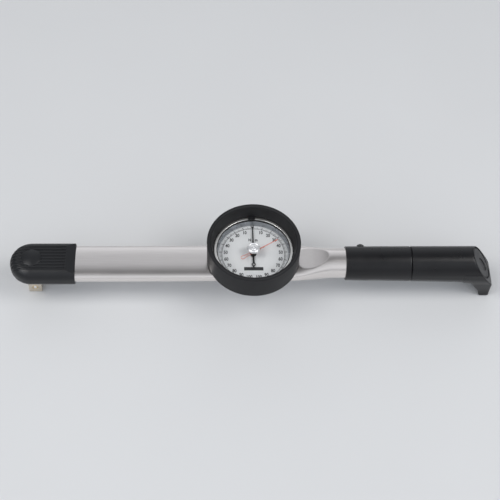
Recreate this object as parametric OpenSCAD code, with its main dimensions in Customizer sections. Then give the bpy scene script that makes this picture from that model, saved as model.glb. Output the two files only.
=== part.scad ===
// Dial torque wrench: a measuring beam bends inside a flattened tube, and a rack
// and pinion turn that bend into the sweep of a pointer over a round dial.
// Origin: centre of the square drive's end face. +X runs to the grip, +Z to the dial.

/* [Overall] */
// Height of the tube's centre line above the drive's end face
axis_h = 40; // [38:0.5:48]
// Drive axis to dial centre
dial_x = 214.75; // [176:0.25:260]
// Dial centre to the front of the grip
grip_gap = 90.5; // [88:0.1:108]
// Grip length along the tube's centre line
grip_len = 135.7; // [112:0.1:165]

/* [Tube] */
// Width of the flattened tube
tube_w = 39; // [36:0.5:47]
// Thickness of the flattened tube
tube_t = 15; // [15:0.1:18]
// Corner radius of the flattened tube
tube_corner = 7; // [6:0.1:7.2]
// Diameter of the round end of the tube
tube_d = 29.6; // [27:0.1:31]
// Wall of the tube
tube_wall = 1.6; // [1.3:0.05:1.8]
// Dial centre to the end of the flat
flat_reach = 55; // [50:0.5:60]
// Length of the ramp from the flat up to the round
ramp_len = 19.5; // [14:0.5:22]

/* [Drive] */
// Square drive across its flats
square_af = 12.7; // [10.6:0.1:12.7]
// Length of the square drive
square_len = 15.5; // [13:0.1:17]
// Chamfer round the drive's end
square_chamfer = 1.2; // [1:0.1:2.5]
// Edge that the round collar has outside the square's corners
collar_edge = 0.02; // [0.02:0.02:0.5]
// Diameter of the drive's upper journal
journal_d = 12; // [10:0.1:13]
// Diameter of the detent ball
ball_d = 4.8; // [4:0.1:5.2]
// How far the detent ball stands out of the square
ball_out = 1; // [0.8:0.05:1.3]
// Drive end to the middle of the detent ball
ball_z = 8.5; // [7:0.1:10]
// Width of the neck that holds the measuring beam
neck_w = 13; // [12:0.1:14]
// Drive axis to the end of the neck
neck_reach = 52; // [48:0.5:56]

/* [Head] */
// Thickness of the head casting
head_t = 18; // [18:0.1:22]
// Thickness of the rubber head cover at its sides
cover_side = 1.5; // [1.4:0.1:2.5]
// Thickness of the head cover at its top and underside
cover_face = 2; // [1.9:0.1:3]
// Thickness of the head cover at its nose
cover_nose = 1.9; // [1.5:0.1:6]
// Drive axis to the rear edge of the head cover
cover_reach = 43.5; // [40:0.5:48]
// Diameter of the raised disc on the head cover
disc_d = 18.2; // [15:0.1:20]
// Spacing of the grooves on the head cover
rib_pitch = 3.55; // [3:0.05:4]
// Number of grooves on each side of the middle
rib_side = 4; // [2:1:4]

/* [Beam] */
// Thickness of the measuring beam in the direction it bends
beam_w = 13.2; // [11:0.1:15]
// Space between the measuring beam and the rack arm above it
beam_space = 1.2; // [0.8:0.1:2]
// Thickness of the tongue held in the neck
tongue_w = 5.9; // [5:0.1:6.2]
// Free length of the beam between neck and anchor
beam_free = 120; // [90:1:120]
// Length of the anchor block
anchor_len = 18; // [15:0.5:20]

/* [Gear train] */
// Gear module of the rack and pinion
gear_module = 0.25; // [0.25:0.05:0.3]
// Teeth on the pinion
pinion_teeth = 16; // [14:1:18]
// Teeth cut on the sector rack
rack_teeth = 18; // [16:2:18]
// Thickness of the rack arm
arm_t = 1.5; // [1.2:0.1:1.5]

/* [Dial] */
// Wall of the guard round the dial case
guard_wall = 4.6; // [4.4:0.1:8]
// Height of the guard above the tube
guard_h = 30.2; // [26:0.1:36]
// Tube's flat to the dial face
face_rise = 7.9; // [7.5:0.1:10]
// Dial face to the top of the lens
lens_rise = 8; // [7.6:0.1:10]
// Wall of the dial case at its top
case_wall = 1.4; // [1:0.1:2]
// Height of the dial case wall
case_h = 14.1; // [14:0.1:14.6]
// Radius of the lens
lens_r = 36.4; // [30:0.1:44]
// Thickness of the lens
lens_t = 2.2; // [1.5:0.1:2.4]
// Lens edge to the edge of the visible dial face
cone_w = 2.4; // [1.8:0.1:5]
// Edge of the dial face to the main pointer's tip
pointer_gap = 1.8; // [1.2:0.1:6]
// Length of the main pointer's tail
pointer_tail = 16.2; // [12:0.1:20]
// Edge of the dial face to the memory pointer's tip
memory_gap = 4.8; // [2:0.1:8]
// Angle of the memory pointer, clockwise from zero
memory_angle = 58.2; // [0:0.1:170]
// Radius of the memory knob
knob_r = 6; // [5:0.1:8]

/* [Grip] */
// Wall of the grip round the tube
grip_wall = 1.9; // [1.5:0.1:3]
// How far the underside drops at the hook
grip_drop = 5; // [3:0.5:6]
// Grip front to the load line groove
load_line = 64.4; // [55:0.1:80]
// Slope of the end face, X per unit of height
end_lean = 0.65; // [0.4:0.05:0.8]
// Width of the hook across the wrench
hook_w = 26; // [22:0.5:30]
// Length of the hook along the wrench
hook_len = 28; // [26:0.5:33]
// Length of the hook's tip along the wrench
hook_tip = 9.5; // [8:0.5:13]
// How far the hook reaches behind the end face, at the tube's centre line
hook_out = 12.3; // [9:0.1:12.5]
// Diameter of the grip screw's head
screw_head_d = 7; // [6.5:0.1:10]
// Grip front to the grip screw
screw_reach = 15.5; // [13:0.1:22]

/* [Hidden] */
$fn = 64;

// Clearances: a running fit, parts that seat in each other, and free space
run = 0.05;
seat = 0.03;
free = 0.3;
over = 1;

// Thread radii of the screws, and radii of the pins and rivets
screw_r = 1.5;
small_r = 0.8;
arm_screw_r = 1;
dial_screw_r = 0.6;
grip_screw_r = 2.5;
head_pin_r = 2;
rivet_r = 1;

// Tube
tube_top = axis_h + tube_t / 2;
tube_low = axis_h - tube_t / 2;
tube_front = 14;
inner_w = tube_w - 2 * tube_wall;
inner_t = tube_t - 2 * tube_wall;
inner_corner = tube_corner - tube_wall;
tube_in_top = tube_top - tube_wall;
flat_end = dial_x + flat_reach;
ramp_end = flat_end + ramp_len;
grip_x = dial_x + grip_gap;
grip_end = grip_x + grip_len;
tube_rear_gap = 36;
tube_rear = grip_end - tube_rear_gap;

// Head
casting_nose_x = 0;
chin = 6.5;
cover_w = tube_w + 2 * cover_side;
cover_t = head_t + 2 * cover_face;
head_corner = 8;
head_low = axis_h - head_t / 2;
head_top = axis_h + head_t / 2;
cover_nose_x = cover_side - cover_nose;
nose_reach = tube_w / 2 + cover_nose;
cover_corner = 9.4;
groove_w = 1.1;
groove_t = 0.5;
groove_end = cover_reach - 9;
rear_bevel = 2.5;
disc_t = 2;
disc_bevel = 0.5;
spigot_end = 34;
cover_low = axis_h - cover_t / 2;
cover_top = axis_h + cover_t / 2;
bush_wall = 1.5;
collar_d = square_af * sqrt(2) + 2 * collar_edge;
hub_d = collar_d + 2 * (run + bush_wall) + 0.1;
pocket_r = hub_d / 2 + 0.4;
pocket_cover = 3.4;
pocket_low = head_low + pocket_cover;
pocket_top = head_top - pocket_cover;
plate_r = pocket_r + 1;
plate_t = 1.6;
slot_w = neck_w + 5;
ring_t = 0.8;
ring_w = 1.9;
ring_gap = 4;
ring_grip = 0.7;
ring_low = pocket_top + plate_t + 0.1;
head_pin_x = spigot_end - 10;
head_pin_short = 0.4;

// Drive
hub_low = pocket_low + free;
hub_top = pocket_top - free;
neck_low = pocket_low + 0.5;
neck_x = spigot_end + 2;
arm_low = tube_in_top - 0.5 - arm_t;
arm_top = arm_low + arm_t;
arm_screw_len = 3.4;
neck_slot_top = arm_low - 2.2;
pin_r = 1.8;
pin_xs = [27, 36];
ball_r = ball_d / 2;
ball_y = ball_r - ball_out - square_af / 2;
ball_lip = ball_r - 0.2;
ball_lip_t = 0.3;
ball_bore_r = ball_r + run;
spring_end_y = 2;
coil_gap = 0.4;
coil_wire = 0.7;

// Beam and anchor
beam_low = neck_low + free;
beam_top = arm_low - beam_space;
pin_z = (beam_low + neck_slot_top) / 2;
anchor_pin_z = (beam_low + beam_top) / 2;
beam_x = neck_reach + 2.5;
tongue_x = 21;
anchor_x = beam_x + beam_free - 2.5;
anchor_end = anchor_x + anchor_len;
anchor_top = arm_low - 0.4;
anchor_pin_r = 2;
anchor_pin_xs = [anchor_x + anchor_len * 0.28, anchor_x + anchor_len * 0.72];
anchor_screw_y = beam_w / 2 + 2.4;
anchor_screw_len = anchor_pin_z - anchor_pin_r - free - tube_low;

// Gears
pinion_r = gear_module * pinion_teeth / 2;
rack_r = dial_x - pinion_r;
rack_step = gear_module * 180 / rack_r;
tooth_slack = 0.02;
pressure = 20;
pinion_base = pinion_r * cos(pressure);
pinion_tip = pinion_r + gear_module * 0.88;
pinion_root = pinion_r - gear_module * 1.25;
rack_tip = rack_r + gear_module * 0.95;
rack_root = rack_r - gear_module * 1.25;
rack_t = 1.2;
rack_low = arm_low - rack_t;
sector_len = 16;
arm_end = rack_r - 7;
arm_w = 7;
rivet_xs = [rack_r - 9.5, rack_r - 13.5];

// Dial case and movement
gasket_t = 0.4;
case_low = tube_top + gasket_t;
base_t = 1.4;
base_top = case_low + base_t;
case_top = case_low + case_h;
flange_t = 1.4;
flange_low = case_top - flange_t - 0.2;
skirt_r = lens_r + 2;
wall_low_r = skirt_r + run * 2;
flange_r = skirt_r + 0.75;
wall_top_r = flange_r + run;
case_r = wall_top_r + case_wall;
window_x = 13.5;
window_y = 9;
case_screw_x = 24;
case_screw_y = 6.5;
case_head_r = 2.7;
case_head_t = 1.2;
gasket_x = 30;
plate_x = 17;
plate_y = 12.5;
plate_screw_x = 15.2;
plate_screw_y = 10.6;
top_plate_t = 1;
low_plate_t = 1.2;
low_plate_top = rack_low - 1.4;
pillar_x = 9.5;
pillar_y = 6.2;
pillar_r = 1.6;
small_head_r = 1.5;
small_head_t = 0.8;
pillar_screw_len = 3.2;
stud_r = 0.7;
arbor_r = 0.75;
spring_z = tube_in_top + 0.4;
spring_t = 0.9;
spring_turns = 4;
spring_in = 1.5;
spring_out = 6.4;
spring_wire = 0.25;
stud_x = dial_x - spring_out - 1;

// Dial, lens and pointers
face_z = tube_top + face_rise;
face_t = 0.8;
face_r = lens_r - cone_w;
face_hole_r = 3;
cone_edge = 0.8;
lens_top = face_z + lens_rise;
lens_low = lens_top - lens_t;
lens_gasket_t = 0.4;
cone_top = lens_low - lens_gasket_t;
ring_top = lens_top + 0.6;
ring_corner = 0.5;
tab_left = 4.4;
tab_right = 2.2;
tab_in = 1.9;
tab_t = 2;
pointer_z = face_z + 1.6;
pointer_t = 0.4;
pointer_tip = face_r - pointer_gap;
hub_r = 1.6;
hub_flange_r = 2.4;
hub_up = 1;
tail_ring_r = 2;
tail_hole_r = 1.1;
tail_ring_y = 3.2 - pointer_tail;
memory_z = face_z + 3.7;
memory_t = 0.4;
memory_tip = face_r - memory_gap;
memory_tail = 14.3;
memory_boss_r = 2.2;
knob_low = lens_top + 1;
knob_h = 2.2;
knob_top = knob_low + knob_h;
knob_edge = 0.5;
washer_r = 3.4;
shaft_r = 1;
shaft_top = knob_top - 1;
nut_t = 0.6;
dog_r = 12;
dog_pin_r = 0.4;
dog_gap = 0.15;

// Guard
rim_r = 2.1;
rim_z = tube_top + guard_h - rim_r;
guard_low = case_low + 1.4;
guard_r = case_r + guard_wall;

// Grip
grip_r = tube_d / 2 + grip_wall;
grip_axis = axis_h - 0.3;
grip_bore_r = tube_d / 2 + seat;
hook_end = grip_end + hook_out;
hook_start = hook_end - hook_len;
hook_cove = hook_len - hook_tip;
hook_tip_r = 3;
hook_notch = 1.2;
hook_plan_r = 7;
line_w = 1.1;
line_t = 1;
end_angle = atan(end_lean);
cap_t = 2.4;
cap_r = grip_r - 1.6;
cap_gap = 0.5;
oval_r = 6;
oval_t = 0.5;
oval_drop = 1.5;
screw_tilt = 30;
spot_edge = 0.6;
screw_cyl_t = 1;
screw_dome_t = 1.2;
screw_dome_in = 1.8;
socket_r = 1.7;
screw_x = grip_x + screw_reach;
screw_seat = grip_r - 0.4;
screw_foot = tube_d / 2 - tube_wall - 1;

// A bar with a rounded rectangular section, along X at the tube's centre line
module rounded_rect(w, t, r) {
    square([w - 2 * r, t], center = true);
    square([w, t - 2 * r], center = true);
    for (sy = [-1, 1], sz = [-1, 1])
        translate([sy * (w / 2 - r), sz * (t / 2 - r)]) circle(r);
}

module x_bar(x0, x1, w, t, r) {
    translate([x0, 0, axis_h]) rotate([90, 0, 90]) linear_extrude(x1 - x0) rounded_rect(w, t, r);
}

// A round bar along X, along Y and along Z
module x_rod(x0, x1, r, y = 0, z = axis_h) {
    translate([x0, y, z]) rotate([0, 90, 0]) cylinder(h = x1 - x0, r = r);
}

module y_rod(y0, y1, r, x, z) {
    translate([x, y0, z]) rotate([-90, 0, 0]) cylinder(h = y1 - y0, r = r);
}

module z_rod(z0, z1, r, x = 0, y = 0) {
    translate([x, y, z0]) cylinder(h = z1 - z0, r = r);
}

// A box between two corners
module box(lo, hi) {
    translate(lo) cube([hi[0] - lo[0], hi[1] - lo[1], hi[2] - lo[2]]);
}

// A profile in X and Z, extruded to both sides of the middle plane
module side_extrude(w) {
    translate([0, w / 2, 0]) rotate([90, 0, 0]) linear_extrude(w) children();
}

// Half a round nose with the section of a rounded bar, on the -X side
module nose(x, w, t, r) {
    translate([x, 0, axis_h]) rotate([0, 0, 90]) rotate_extrude(angle = 180) intersection() {
        rounded_rect(w, t, r);
        translate([0, -t]) square([w, 2 * t]);
    }
}

// A ring round a vertical axis
module z_ring(z0, z1, r_in, r_out, x = 0, y = 0) {
    difference() {
        z_rod(z0, z1, r_out, x, y);
        z_rod(z0 - over, z1 + over, r_in, x, y);
    }
}

// A countersunk screw whose head is flush at height z; dir is 1 with the head on top
module flat_screw(x, y, z, r, len, dir) {
    translate([x, y, z]) rotate([dir > 0 ? 180 : 0, 0, 0]) {
        cylinder(h = r, r1 = 2 * r, r2 = r);
        cylinder(h = len, r = r);
    }
}

module flat_screw_hole(x, y, z, r, len, dir) {
    translate([x, y, z]) rotate([dir > 0 ? 180 : 0, 0, 0]) {
        cylinder(h = r + seat, r1 = 2 * r + seat, r2 = r + seat);
        cylinder(h = len + over, r = r + seat);
    }
}

// The tube: a round tube pressed flat from the front, with a ramp back up to the round
module tube_form(inset, x0, x1) {
    w = tube_w - 2 * inset;
    t = tube_t - 2 * inset;
    r = tube_d / 2 - inset;
    edge = sqrt(r * r - t * t / 4);
    intersection() {
        x_bar(x0, ramp_end, w, t, tube_corner - inset);
        translate([0, 0, axis_h - tube_t]) linear_extrude(2 * tube_t) polygon([
            [x0 - over, -w], [flat_end - ramp_len, -w], [flat_end - ramp_len, -w / 2],
            [ramp_end, -edge], [ramp_end, edge],
            [flat_end - ramp_len, w / 2], [flat_end - ramp_len, w], [x0 - over, w]
        ]);
    }
    difference() {
        x_rod(flat_end - 2 * ramp_len, x1, r);
        for (up = [0, 1]) translate([0, 0, axis_h]) mirror([0, 0, up]) side_extrude(2 * tube_w)
            polygon([
                [flat_end - 3 * ramp_len, t / 2], [flat_end, t / 2], [ramp_end, r],
                [ramp_end, tube_w], [flat_end - 3 * ramp_len, tube_w]
            ]);
    }
}

module housing_tube() {
    color("silver") difference() {
        tube_form(0, tube_front, tube_rear);
        tube_form(tube_wall, tube_front - over, tube_rear + over);
        box([dial_x - window_x, -window_y, axis_h], [dial_x + window_x, window_y, tube_top + over]);
        case_screw_places() z_rod(axis_h, tube_top + over, screw_r + seat);
        for (x = anchor_pin_xs, sy = [-1, 1])
            flat_screw_hole(x, sy * anchor_screw_y, tube_low, screw_r, anchor_screw_len, -1);
        y_rod(-tube_w, tube_w, head_pin_r + seat, head_pin_x, axis_h);
        grip_screw_axis() cylinder(h = grip_r, r = grip_screw_r + seat);
    }
}

// Head casting: carries the bushes, and its spigot fits inside the tube
module head_casting() {
    fit_w = inner_w - 2 * seat;
    color("dimgray") difference() {
        union() {
            x_bar(casting_nose_x, tube_front - seat, tube_w, head_t, head_corner);
            nose(casting_nose_x, tube_w, head_t, head_corner);
            x_bar(casting_nose_x, spigot_end, fit_w, inner_t - 2 * seat, inner_corner - seat);
        }
        z_rod(pocket_low, pocket_top + over, pocket_r);
        z_rod(head_low - over, pocket_low + over, collar_d / 2 + run + bush_wall + seat);
        z_rod(pocket_top, head_top + over, plate_r + seat);
        z_rod(ring_low, ring_low + ring_t + 0.1, plate_r + ring_grip + seat);
        box([0, -slot_w / 2, pocket_low], [spigot_end + over, slot_w / 2, pocket_top]);
        box([tube_front + over, -slot_w / 2, head_low], [spigot_end + over, slot_w / 2, head_top]);
        y_rod(-tube_w, tube_w, head_pin_r + seat, head_pin_x, axis_h);
    }
}

// Bronze bush for the drive's collar
module lower_bush() {
    r = collar_d / 2 + run;
    color("goldenrod") z_ring(head_low, pocket_low, r, r + bush_wall);
}

// Bronze bush for the drive's upper journal
module upper_bush() {
    r = journal_d / 2 + run;
    color("goldenrod") z_ring(pocket_top, pocket_top + plate_t, r, r + bush_wall);
}

// Plate that closes the drive's pocket
module head_plate() {
    r = journal_d / 2 + run + bush_wall + seat;
    color("gray") z_ring(pocket_top, pocket_top + plate_t, r, plate_r);
}

// Snap ring that holds the head plate down
module snap_ring() {
    z0 = ring_low + 0.05;
    color("darkgray") difference() {
        z_ring(z0, z0 + ring_t, plate_r + ring_grip - ring_w, plate_r + ring_grip);
        box([0, -ring_gap / 2, z0 - over], [plate_r * 2, ring_gap / 2, z0 + ring_t + over]);
    }
}

// Two pins that tie the casting's spigot to the tube, one in each side wall
module head_pins() {
    color("gray") for (s = [0, 1]) mirror([0, s, 0])
        y_rod(slot_w / 2 + 0.5, tube_w / 2 - head_pin_short, head_pin_r, head_pin_x, axis_h);
}

// Rubber head cover with a grooved top, a raised disc and a bevelled rear edge
module head_cover() {
    color("#26282b") difference() {
        union() {
            difference() {
                union() {
                    x_bar(cover_nose_x, cover_reach, cover_w, cover_t, cover_corner);
                    nose(cover_nose_x, cover_w, cover_t, cover_corner);
                }
                for (i = [-rib_side : rib_side - 1])
                    box([-nose_reach, (i + 0.5) * rib_pitch - groove_w / 2, cover_top - groove_t],
                        [groove_end, (i + 0.5) * rib_pitch + groove_w / 2, cover_top + over]);
                side_extrude(2 * cover_w) polygon([
                    [groove_end, cover_top + over], [groove_end, cover_top],
                    [cover_reach + over, cover_top - rear_bevel], [cover_reach + over, cover_top + over]
                ]);
                side_extrude(2 * cover_w) polygon([
                    [-nose_reach - over, cover_low + chin + over], [-nose_reach, cover_low + chin],
                    [-nose_reach + chin, cover_low], [-nose_reach + chin, cover_low - over],
                    [-nose_reach - over, cover_low - over]
                ]);
            }
            z_rod(cover_top - groove_t, cover_top + disc_t - disc_bevel, disc_d / 2);
            z_rod(cover_top, cover_top + disc_t, disc_d / 2 - 3 * disc_bevel);
        }
        x_bar(casting_nose_x, tube_front, tube_w + 2 * seat, head_t + 2 * seat, head_corner);
        nose(casting_nose_x, tube_w + 2 * seat, head_t + 2 * seat, head_corner);
        x_bar(casting_nose_x, cover_reach + over, tube_w + 2 * seat, tube_t + 2 * seat, tube_corner);
        z_rod(cover_low - over, axis_h, collar_d / 2 + free);
    }
}

// Drive head: square, collar, body, journal and the neck that holds the beam
module drive_head() {
    half = square_af / 2;
    color("#b9bbbd") difference() {
        union() {
            difference() {
                translate([-half, -half, 0]) cube([square_af, square_af, square_len + over]);
                for (a = [0 : 90 : 270]) rotate([0, 0, a]) side_extrude(2 * square_af) polygon([
                    [half - square_chamfer, -over], [half + over, -over],
                    [half + over, square_chamfer], [half, square_chamfer], [half - square_chamfer, 0]
                ]);
            }
            z_rod(square_len, pocket_low + over, collar_d / 2);
            z_rod(hub_low, hub_top, hub_d / 2);
            z_rod(hub_top, pocket_top + plate_t, journal_d / 2);
            box([0, -neck_w / 2, neck_low], [neck_x, neck_w / 2, hub_top]);
            box([neck_x - over, -neck_w / 2, neck_low], [neck_reach, neck_w / 2, arm_low]);
        }
        box([tongue_x - 0.5, -tongue_w / 2 - run, neck_low - over],
            [neck_reach + over, tongue_w / 2 + run, neck_slot_top]);
        for (x = pin_xs) y_rod(-neck_w, neck_w, pin_r + seat, x, pin_z);
        arm_screw_places() flat_screw_hole(0, 0, arm_top, arm_screw_r, arm_screw_len, 1);
        y_rod(-half - over, -half + ball_lip_t + over, ball_lip, 0, ball_z);
        y_rod(-half + ball_lip_t, spring_end_y, ball_bore_r, 0, ball_z);
    }
}

// Spring ball that holds a socket on the square
module detent_ball() {
    color("white") translate([0, ball_y, ball_z]) rotate([90, 0, 0]) sphere(ball_r);
}

module detent_spring() {
    color("gray") difference() {
        y_rod(ball_y + ball_r + run, spring_end_y, ball_r - coil_gap, 0, ball_z);
        y_rod(ball_y, spring_end_y + over, ball_r - coil_gap - coil_wire, 0, ball_z);
    }
}

// Two pins through the neck and the beam's tongue
module beam_pins() {
    color("gray") for (x = pin_xs) y_rod(-neck_w / 2, neck_w / 2, pin_r, x, pin_z);
}

// Spring steel measuring beam
module measuring_beam() {
    color("lightsteelblue") difference() {
        union() {
            box([tongue_x, -tongue_w / 2, beam_low], [beam_x + over, tongue_w / 2, neck_slot_top - 0.2]);
            box([beam_x, -beam_w / 2, beam_low], [anchor_end, beam_w / 2, beam_top]);
        }
        for (x = pin_xs) y_rod(-beam_w, beam_w, pin_r + run, x, pin_z);
        for (x = anchor_pin_xs) y_rod(-tube_w, tube_w, anchor_pin_r + seat, x, anchor_pin_z);
    }
}

// Block that clamps the rear of the beam in the tube
module beam_anchor() {
    color("dimgray") difference() {
        x_bar(anchor_x, anchor_end, inner_w - 2 * seat, inner_t - 2 * seat, inner_corner - seat);
        box([anchor_x - over, -tube_w, anchor_top], [anchor_end + over, tube_w, tube_top]);
        box([anchor_x - over, -beam_w / 2 - seat, beam_low - seat],
            [anchor_end + over, beam_w / 2 + seat, tube_top]);
        for (x = anchor_pin_xs) y_rod(-tube_w, tube_w, anchor_pin_r + seat, x, anchor_pin_z);
        for (x = anchor_pin_xs, sy = [-1, 1])
            flat_screw_hole(x, sy * anchor_screw_y, tube_low, screw_r, anchor_screw_len, -1);
    }
}

module anchor_pins() {
    color("gray") for (x = anchor_pin_xs)
        y_rod(-inner_w / 2 + 1.5, inner_w / 2 - 1.5, anchor_pin_r, x, anchor_pin_z);
}

module anchor_screws() {
    color("silver") for (x = anchor_pin_xs, sy = [-1, 1])
        flat_screw(x, sy * anchor_screw_y, tube_low, screw_r, anchor_screw_len, -1);
}

// Places of the four screws that hold the rack arm on the neck
module arm_screw_places() {
    for (x = [neck_reach - 10, neck_reach - 4], sy = [-1, 1])
        translate([x, sy * (tongue_w / 2 + neck_w / 2) / 2, 0]) children();
}

// Stiff arm that carries the drive's turn back to the dial
module rack_arm() {
    color("gainsboro") difference() {
        translate([0, 0, arm_low]) linear_extrude(arm_t) polygon([
            [neck_x + over, -neck_w / 2], [neck_reach, -neck_w / 2], [neck_reach + 12, -arm_w / 2],
            [arm_end - 14, -arm_w / 2], [arm_end - 6, -neck_w / 2], [arm_end, -neck_w / 2],
            [arm_end, neck_w / 2], [arm_end - 6, neck_w / 2], [arm_end - 14, arm_w / 2],
            [neck_reach + 12, arm_w / 2], [neck_reach, neck_w / 2], [neck_x + over, neck_w / 2]
        ]);
        arm_screw_places() flat_screw_hole(0, 0, arm_top, arm_screw_r, arm_screw_len, 1);
        for (x = rivet_xs) z_rod(arm_low - over, arm_top + over, rivet_r + seat, x, 0);
    }
}

module arm_screws() {
    color("silver") arm_screw_places() flat_screw(0, 0, arm_top, arm_screw_r, arm_screw_len, 1);
}

// A point at a radius and an angle round the drive axis
function polar(r, a) = [r * cos(a), r * sin(a)];

// Half the angle that a rack tooth covers at a height above its pitch line
function rack_half(h) = (gear_module * PI / 4 - tooth_slack - h * tan(pressure)) / rack_r * 180 / PI;

// Sector rack: straight-sided teeth on a large radius round the drive axis
module sector_rack() {
    first = -(rack_teeth - 1) / 2;
    teeth = [for (i = [0 : rack_teeth - 1]) let (c = (first + i) * rack_step) each [
        polar(rack_root, c - rack_half(rack_root - rack_r)),
        polar(rack_tip, c - rack_half(rack_tip - rack_r)),
        polar(rack_tip, c + rack_half(rack_tip - rack_r)),
        polar(rack_root, c + rack_half(rack_root - rack_r))
    ]];
    side = (rack_teeth / 2 + 0.4) * rack_step;
    color("goldenrod") difference() {
        translate([0, 0, rack_low]) linear_extrude(rack_t) polygon(concat(
            [polar(rack_root, -side)], teeth, [polar(rack_root, side)],
            [polar(rack_root - 5, side), [rack_r - sector_len, neck_w / 2],
             [rack_r - sector_len, -neck_w / 2], polar(rack_root - 5, -side)]));
        for (x = rivet_xs) z_rod(rack_low - over, arm_low + over, rivet_r + seat, x, 0);
    }
}

module sector_rivets() {
    color("gray") for (x = rivet_xs) z_rod(rack_low, arm_top, rivet_r, x, 0);
}

// Places of the screws that hold the case, and of those that hold the movement
module case_screw_places() {
    for (sx = [-1, 1], sy = [-1, 1])
        translate([dial_x + sx * case_screw_x, sy * case_screw_y, 0]) children();
}

module plate_screw_places() {
    for (sx = [-1, 1], sy = [-1, 1])
        translate([dial_x + sx * plate_screw_x, sy * plate_screw_y, 0]) children();
}

// Dial case: a base on the tube and a stepped wall that the bezel turns in
module dial_case() {
    color("#3a3c3f") difference() {
        z_rod(case_low, case_top, case_r, dial_x);
        z_rod(base_top, case_top + over, wall_low_r, dial_x);
        z_rod(flange_low - 0.1, case_top + over, wall_top_r, dial_x);
        box([dial_x - window_x, -window_y, case_low - over], [dial_x + window_x, window_y, base_top + over]);
        case_screw_places() z_rod(case_low - over, base_top + over, screw_r + seat);
        plate_screw_places() z_rod(case_low - over, base_top + over, small_r + seat);
    }
}

// Thin gasket between the tube's flat and the case
module case_gasket() {
    color("black") difference() {
        box([dial_x - gasket_x, -tube_w / 2 + tube_corner + free, tube_top],
            [dial_x + gasket_x, tube_w / 2 - tube_corner - free, case_low]);
        box([dial_x - window_x, -window_y, tube_top - over], [dial_x + window_x, window_y, case_low + over]);
        case_screw_places() z_rod(tube_top - over, case_low + over, screw_r + seat);
    }
}

// Four screws that hold the case on the tube
module case_screws() {
    color("silver") case_screw_places() {
        z_rod(tube_in_top, base_top, screw_r);
        z_rod(base_top, base_top + case_head_t, case_head_r);
    }
}

// Brass plate across the window, with the pointer arbor's upper bearing
module movement_top_plate() {
    color("goldenrod") difference() {
        box([dial_x - plate_x, -plate_y, base_top], [dial_x + plate_x, plate_y, base_top + top_plate_t]);
        z_rod(base_top - over, base_top + top_plate_t + over, arbor_r + run, dial_x);
        z_rod(base_top - over, base_top + top_plate_t + over, stud_r + seat, stud_x, 0);
        for (sy = [-1, 1]) {
            z_rod(base_top - over, base_top + top_plate_t + over, small_r + seat,
                dial_x + pillar_x, sy * pillar_y);
        }
        plate_screw_places() z_rod(base_top - over, base_top + top_plate_t + over, small_r + seat);
    }
}

// Lower brass plate, hung on two pillars, with the lower bearing
module movement_low_plate() {
    color("goldenrod") difference() {
        box([dial_x - 3, -pillar_y - 2.3, low_plate_top - low_plate_t],
            [dial_x + pillar_x + 2.3, pillar_y + 2.3, low_plate_top]);
        z_rod(low_plate_top - low_plate_t - over, low_plate_top + over, arbor_r + run, dial_x);
        for (sy = [-1, 1]) z_rod(low_plate_top - low_plate_t - over, low_plate_top + over, small_r + seat,
            dial_x + pillar_x, sy * pillar_y);
    }
}

module movement_pillars() {
    color("darkgoldenrod") for (sy = [-1, 1])
        z_ring(low_plate_top, base_top, small_r + seat, pillar_r, dial_x + pillar_x, sy * pillar_y);
}

// Screws into both ends of each pillar
module pillar_screws() {
    top = base_top + top_plate_t;
    low = low_plate_top - low_plate_t;
    color("silver") for (sy = [-1, 1]) {
        z_rod(top, top + small_head_t, small_head_r, dial_x + pillar_x, sy * pillar_y);
        z_rod(top - pillar_screw_len, top, small_r, dial_x + pillar_x, sy * pillar_y);
        z_rod(low - small_head_t, low, small_head_r, dial_x + pillar_x, sy * pillar_y);
        z_rod(low, low + pillar_screw_len, small_r, dial_x + pillar_x, sy * pillar_y);
    }
}

// Screws that hold the movement on the case
module plate_screws() {
    top = base_top + top_plate_t;
    color("silver") plate_screw_places() {
        z_rod(top, top + small_head_t, small_head_r);
        z_rod(case_low, top, small_r);
    }
}

// Involute angle, and half the angle that a pinion tooth covers at a radius
function involute(a) = tan(a) * 180 / PI - a;
function pinion_half(r) = 90 / pinion_teeth - tooth_slack / pinion_r * 180 / PI
    + involute(pressure) - involute(acos(pinion_base / max(r, pinion_base)));

// Arbor with its pinion; one tooth points at the drive axis at rest
module pointer_arbor() {
    radii = [pinion_root, pinion_base, pinion_r * 0.98, pinion_r * 1.04, pinion_tip];
    last = len(radii) - 1;
    step = 360 / pinion_teeth;
    profile = [for (i = [0 : pinion_teeth - 1]) let (c = 180 + i * step) each concat(
        [for (k = [0 : last]) polar(radii[k], c - pinion_half(radii[k]))],
        [for (k = [last : -1 : 0]) polar(radii[k], c + pinion_half(radii[k]))])];
    color("lightgray") {
        translate([dial_x, 0, rack_low - 0.2]) linear_extrude(rack_t + 0.4) polygon(profile);
        z_rod(low_plate_top - low_plate_t, pointer_z + 0.6, arbor_r, dial_x);
    }
}

// Flat spiral that takes up the backlash
module hairspring() {
    count = 20 * spring_turns;
    radius = function(i) spring_in + (spring_out - spring_in) * i / count;
    outline = concat(
        [for (i = [0 : count]) polar(radius(i) + spring_wire, 180 + i * 18)],
        [for (i = [count : -1 : 0]) polar(radius(i), 180 + i * 18)]);
    color("steelblue") translate([dial_x, 0, spring_z]) linear_extrude(spring_t) polygon(outline);
}

module spring_collet() {
    color("goldenrod")
        z_ring(spring_z - 0.1, spring_z + spring_t + 0.1, arbor_r + seat, spring_in - seat, dial_x);
}

// Stud on the top plate that holds the spiral's outer end
module spring_stud() {
    color("goldenrod") z_rod(spring_z, base_top + top_plate_t, stud_r, stud_x, 0);
}

// Outline of a hand that points along +Y
module hand(tip, root_w, tip_w, tail, tail_w) {
    polygon([[-root_w / 2, 0], [-tip_w / 2, tip - 2], [0, tip], [tip_w / 2, tip - 2], [root_w / 2, 0],
             [tail_w / 2, -tail], [-tail_w / 2, -tail]]);
}

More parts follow.
